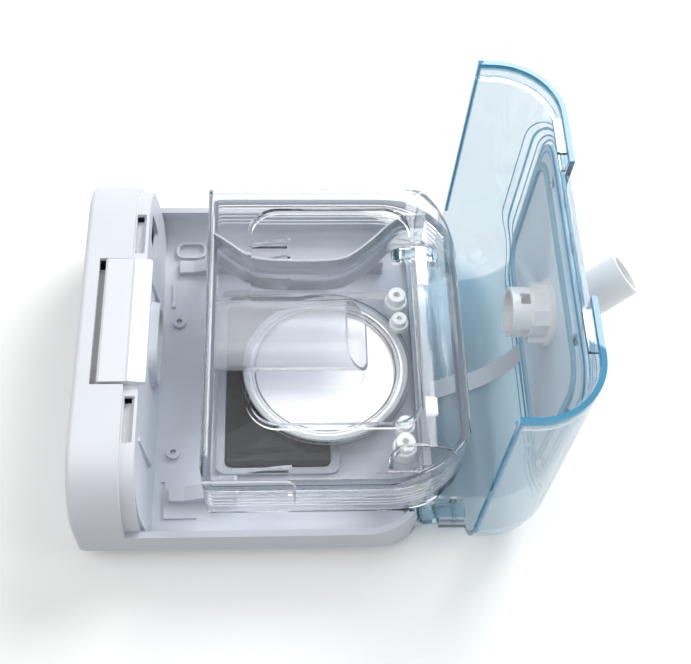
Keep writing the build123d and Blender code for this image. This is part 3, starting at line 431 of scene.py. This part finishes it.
def beads(name, tree, paths, material, body):
    """One riding piece made of beads; a path is (points in metres, closed, bead radius in millimetres)."""
    joined = bmesh.new()
    sockets = {item.name: item.identifier for item in tree.interface.items_tree if item.in_out == "INPUT"}
    for points, closed, bead in paths:
        edges = [(n, n + 1) for n in range(len(points) - 1)]
        if closed:
            edges.append((len(points) - 1, 0))
        line = bpy.data.meshes.new(name + "_path")
        line.from_pydata([tuple(point) for point in points], edges, [])
        carrier = bpy.data.objects.new(name + "_path", line)
        bpy.context.collection.objects.link(carrier)
        grow = carrier.modifiers.new("bead", "NODES")
        grow.node_group = tree
        grow[sockets["Bead"]] = bead / 1000
        grow[sockets["Step"]] = bead_step / 1000
        grown = carrier.evaluated_get(bpy.context.evaluated_depsgraph_get())
        joined.from_mesh(bpy.data.meshes.new_from_object(grown))
        bpy.data.objects.remove(carrier)
    bmesh.ops.recalc_face_normals(joined, faces=joined.faces)
    piece = solid_object(name, joined, material, smooth=True)
    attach(piece, body)


def frame_points(cx, cy, length, width, front, rear):
    """Points in millimetres round a rectangle with rounded corners, front and rear radii apart."""
    plan = [(1, 1, rear, 0), (-1, 1, front, 90), (-1, -1, front, 180), (1, -1, rear, 270)]
    corners = []
    for sx, sy, radius, start in plan:
        for n in range(corner_steps + 1):
            angle = math.radians(start + 90 * n / corner_steps)
            corners.append((cx + sx * (length / 2 - radius) + radius * math.cos(angle),
                            cy + sy * (width / 2 - radius) + radius * math.sin(angle)))
    points = []
    for (x0, y0), (x1, y1) in zip(corners, corners[1:] + corners[:1]):
        steps = max(1, round(math.hypot(x1 - x0, y1 - y0) / straight_step))
        points += [(x0 + (x1 - x0) * n / steps, y0 + (y1 - y0) * n / steps) for n in range(steps)]
    return points


def opened(x, y, z):
    """A point of the closed lid in millimetres, turned to the open pose, in metres."""
    dx, dz = x - hinge_mm[0], z - hinge_mm[1]
    return Vector((hinge_mm[0] + dx * math.cos(lid_angle) + dz * math.sin(lid_angle), y,
                   hinge_mm[1] - dx * math.sin(lid_angle) + dz * math.cos(lid_angle))) / 1000


def in_shell(x, y):
    """A point a little inside the shell's wall."""
    over_y = max(abs(y) - shoulder_y, 0)
    over_x = max(x - shoulder_x, 0)
    drop = inner_radius - math.sqrt(inner_radius ** 2 - over_y ** 2 - over_x ** 2)
    return opened(x, y, ceiling_mm + line_depth - drop)


def on_liner(x, y):
    """A point level with the liner's edge."""
    return opened(x, y, liner_mm)


def bead_frames(rows, lifted):
    """Closed bead paths from rows of frames, with each point of a frame lifted to its surface."""
    return [([lifted(x, y) for x, y in frame_points(cx, cy, length, width, corner, corner)], True, bead)
            for cx, cy, length, width, corner, bead in rows]


teal = clear_moulding("polycarbonate_blue_deep", "62BBDA", "B8DCE8", (0.04, 0.6, 0.76, 1), 50.0)
teal_beads = bead_tree("moulded_bead", teal)
beads("lid_bead_lines", teal_beads, bead_frames(lid_beads, in_shell), teal, "lid")
beads("lid_catch_windows", teal_beads, bead_frames(catch_windows, in_shell), teal, "lid")
beads("liner_bead_lines", teal_beads, bead_frames(liner_beads, on_liner), teal, "lid")


# Liner, its gasket and the lid stay: pale grey polypropylene sheet pieces, the liner thin enough to let light
# through, and a blue-grey silicone gasket. The small cap on the elbow is of the stay's grey.
def let_through(material, code, share):
    """Let a share of the light through a thin sheet."""
    tree = material.node_tree
    through = put(tree, "ShaderNodeBsdfTranslucent", {"Color": linear(code)})
    sheet = put(tree, "ShaderNodeMixShader", {
        0: share, 1: tree.nodes["skin"].outputs["BSDF"], 2: through.outputs[0]})
    tree.links.new(sheet.outputs[0], tree.nodes["out"].inputs["Surface"])


grey_pp = moulded("polypropylene_pale_grey", "E8EDF2", "E0E6EC", 0.38)
let_through(grey_pp, "F6F9FC", 0.66)
finish(grey_pp, "lid_liner")
grey_strip = moulded("polypropylene_grey", "DDE0E5", "D3D7DD", 0.4)
finish(grey_strip, "lid_stay", "port_cap")
silicone_blue = moulded("silicone_blue_grey", "A9CEDD", "9DC4D4", 0.55, grain_mm=0.8)
finish(silicone_blue, "liner_gasket")

# Outlet: an acetal collar clipped into the liner, and the swivelling elbow for a 22 mm hose. Both are white,
# smooth and a little waxy.
finish(acetal, "port_collar", "outlet_elbow")

# Water tank: tub and cover in clear polycarbonate, welded round a milky seal, with an oval inlet tube.
# The walls are polished, and carry a faint grey in their thickness. The clips are white acetal.
grey_absorption = (0.4, 0.5, 0.55, 1)
tank_clear = clear_moulding("polycarbonate_clear", "FCFCFD", "D9DCE0", grey_absorption, 2.0, mirror=0.35)
finish(tank_clear, "tank_tub", "tank_cover")
tube_clear = clear_moulding("polycarbonate_clear_satin", "F6F7F9", "DADEE2", grey_absorption, 2.0,
                            roughness=0.08, clarity=0.88)
finish(tube_clear, "tank_inlet_tube")
seal_milky = moulded("silicone_translucent", "EEF1F4", "E6EAEE", 0.5, grain_mm=0.8)
let_through(seal_milky, "F2F5F8", 0.5)
finish(seal_milky, "tank_seal", "disc_seal")
finish(acetal, "tank_clips")

# Moulded lines of the tank: fine ribs round the inside of its walls, the stepped panel on its near side, the
# edges of the baffle and the rings round the disc. They are frosted lines in the same clear polycarbonate.
tank_shift = (25.5, 0.0, 8.0)
tank_centre = 17.0
tank_length, tank_width = 134.0, 174.0
tank_wall = 2.2
front_corner, rear_corner = 6.0, 44.0
rib_heights = (28.5, 31.5, 35.0, 39.0, 43.0, 47.0)
front_heights = (50.0, 52.5, 55.0, 57.5, 60.0)
front_half = 70.0
rib_radius = 0.4
panel_line = [(-49.0, 57.0), (-9.0, 57.0), (-6.5, 55.5), (-5.5, 53.0), (-5.5, 34.0)]
panel_depth = 0.6
panel_bead = 0.6
baffle_line = [(-47.0, 57.0), (-38.0, 50.0), (-30.5, 43.5), (-22.0, 40.5), (-2.0, 39.5), (19.0, 40.0),
               (27.0, 44.5), (37.5, 54.0), (46.5, 64.0), (53.0, 68.5), (66.0, 69.5)]
baffle_z = (29.0, 57.0)
baffle_bead = 0.55
disc_place = (11.5, -5.0, 20.9)
disc_rings = [(38.6, 0.5), (40.6, 0.6), (43.2, 0.6)]
ring_steps = 72


def at_tank(x, y, z):
    """A point of the seated tank in millimetres, moved to the drawn-out tank, in metres."""
    return Vector((x + tank_shift[0], y + tank_shift[1], z + tank_shift[2])) / 1000


def eased(points, rounds=2):
    """Round the corners of a line of points by cutting them, a quarter of a run at a time."""
    for _ in range(rounds):
        cut = [points[0]]
        for (x0, y0), (x1, y1) in zip(points, points[1:]):
            cut += [(0.75 * x0 + 0.25 * x1, 0.75 * y0 + 0.25 * y1),
                    (0.25 * x0 + 0.75 * x1, 0.25 * y0 + 0.75 * y1)]
        points = cut + [points[-1]]
    return points


def disc_ring(radius):
    """Points in metres round the axis of the disc."""
    x, y, z = disc_place
    angles = [math.radians(360 * n / ring_steps) for n in range(ring_steps)]
    return [at_tank(x + radius * math.cos(angle), y + radius * math.sin(angle), z) for angle in angles]


pale_clear = clear_moulding("polycarbonate_clear_frosted", "F8F9FA", "DADEE2", grey_absorption, 2.0,
                            roughness=0.3, clarity=0.5)
clear_beads = bead_tree("moulded_clear_bead", pale_clear)
inward = tank_wall + rib_radius / 2
rib_plan = frame_points(tank_centre, 0.0, tank_length - 2 * inward, tank_width - 2 * inward,
                        front_corner - inward, rear_corner - inward)
front_x = tank_centre - tank_length / 2 + inward
panel_y = panel_depth - tank_width / 2
rows = [([at_tank(x, y, z) for x, y in rib_plan], True, rib_radius) for z in rib_heights]
rows += [([at_tank(front_x, y, z) for y in (-front_half, front_half)], False, rib_radius)
         for z in front_heights]
rows.append(([at_tank(x, panel_y, z) for x, z in panel_line], False, panel_bead))
rows += [([at_tank(x, y, z) for x, y in eased(baffle_line)], False, baffle_bead) for z in baffle_z]
rows += [(disc_ring(radius), True, bead) for radius, bead in disc_rings]
beads("tank_wall_ribs", clear_beads, rows, pale_clear, "tank")

# Baffle of the tank: a curved upright wall in clear polycarbonate with an etched skin, moulded with the tub.
# It keeps the water from the far wall.
baffle_wall = 1.6
baffle_edge = 0.4
sharp_from = 0.9


def bar_corners(low, high):
    """The four corners of a bar's section: its side, and its height."""
    return (-1, low), (1, low), (1, high), (-1, high)


def swept_bar(rings, edge):
    """A closed bar through rings of four points, with its sharp edges rounded."""
    bar = bmesh.new()
    previous = None
    for points in rings:
        ring = [bar.verts.new(point) for point in points]
        if previous is None:
            bar.faces.new(ring)
        else:
            for k in range(4):
                bar.faces.new((previous[k], previous[(k + 1) % 4], ring[(k + 1) % 4], ring[k]))
        previous = ring
    bar.faces.new(previous)
    bmesh.ops.recalc_face_normals(bar, faces=bar.faces)
    sharp = [side for side in bar.edges if side.calc_face_angle(0) > sharp_from]
    bmesh.ops.bevel(bar, geom=sharp, offset=edge / 1000, segments=2, affect="EDGES")
    return bar


baffle_clear = clear_moulding("polycarbonate_clear_etched", "E4E7EC", "CDD1D6", (0.35, 0.5, 0.6, 1), 8.0,
                              roughness=0.12, clarity=0.9)
baffle_path = eased(baffle_line)
baffle_rings = []
for n, (x, y) in enumerate(baffle_path):
    x0, y0 = baffle_path[max(n - 1, 0)]
    x1, y1 = baffle_path[min(n + 1, len(baffle_path) - 1)]
    run = math.hypot(x1 - x0, y1 - y0)
    side_x = -(y1 - y0) / run * baffle_wall / 2
    side_y = (x1 - x0) / run * baffle_wall / 2
    baffle_rings.append([at_tank(x + s * side_x, y + s * side_y, z) for s, z in bar_corners(*baffle_z)])
tank_baffle = solid_object("tank_baffle", swept_bar(baffle_rings, baffle_edge), baffle_clear, smooth=True)
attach(tank_baffle, "tank")

# Cross rail of the tank: a flat satin bar in clear polycarbonate that runs from front to rear over the floor,
# beside the baffle.
rail_line = [(-44.0, 33.6), (-30.0, 35.0), (0.0, 36.0), (30.0, 36.8), (47.0, 37.2)]
rail_half = 2.1
rail_z = (26.0, 28.4)
rail_edge = 0.5

rail_rings = [[at_tank(x, y + s * rail_half, z) for s, z in bar_corners(*rail_z)]
              for x, y in eased(rail_line)]
cross_rail = solid_object("tank_cross_rail", swept_bar(rail_rings, rail_edge), tube_clear)
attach(cross_rail, "tank")

# Float posts of the tank: two pairs of white acetal posts on the floor by the rear wall. Each is turned, with
# a shoulder and a small blind hole.
post_floor = 20.2
post_rows = [  # centre x, centre y, radius, height
    (50.5, 33.0, 6.2, 14.0),
    (51.5, 20.5, 5.2, 10.0),
    (51.5, -42.0, 5.2, 10.0),
    (50.5, -55.0, 6.2, 14.0),
]
post_profile = [  # shares of the radius and of the height, up the outside and down into the hole
    (1.0, 0.0), (1.0, 0.55), (0.93, 0.6), (0.8, 0.6), (0.8, 0.94), (0.74, 1.0), (0.3, 1.0), (0.26, 0.97),
    (0.26, 0.72)]
post_sides = 32

posts = bmesh.new()
post_angles = [2 * math.pi * n / post_sides for n in range(post_sides)]
for cx, cy, radius, tall in post_rows:
    rings = []
    for out, level in post_profile:
        rings.append([posts.verts.new(at_tank(cx + out * radius * math.cos(angle),
                                              cy + out * radius * math.sin(angle),
                                              post_floor + level * tall)) for angle in post_angles])
    for low_ring, high_ring in zip(rings, rings[1:]):
        for n in range(post_sides):
            k = (n + 1) % post_sides
            posts.faces.new((low_ring[n], low_ring[k], high_ring[k], high_ring[n]))
    posts.faces.new(rings[0])
    posts.faces.new(rings[-1])
bmesh.ops.recalc_face_normals(posts, faces=posts.faces)
float_posts = solid_object("tank_float_posts", posts, acetal)
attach(float_posts, "tank")

# Steel base of the tank: a pressed stainless dish, bright and finely brushed. Its rolled edge is darker, and
# is drawn as a bead round the disc.
edge_radius, edge_bead = 37.3, 0.35

pressed_steel = metal("stainless_steel_pressed", "E2E1E4", "D4D4D8", 0.33)
finish(pressed_steel, "tank_disc")
rolled_edge = metal("stainless_steel_rolled_edge", "8B8D93", "75777D", 0.3)
edge_beads = bead_tree("rolled_edge_bead", rolled_edge)
beads("tank_disc_edge", edge_beads, [(disc_ring(edge_radius), True, edge_bead)], rolled_edge, "tank")
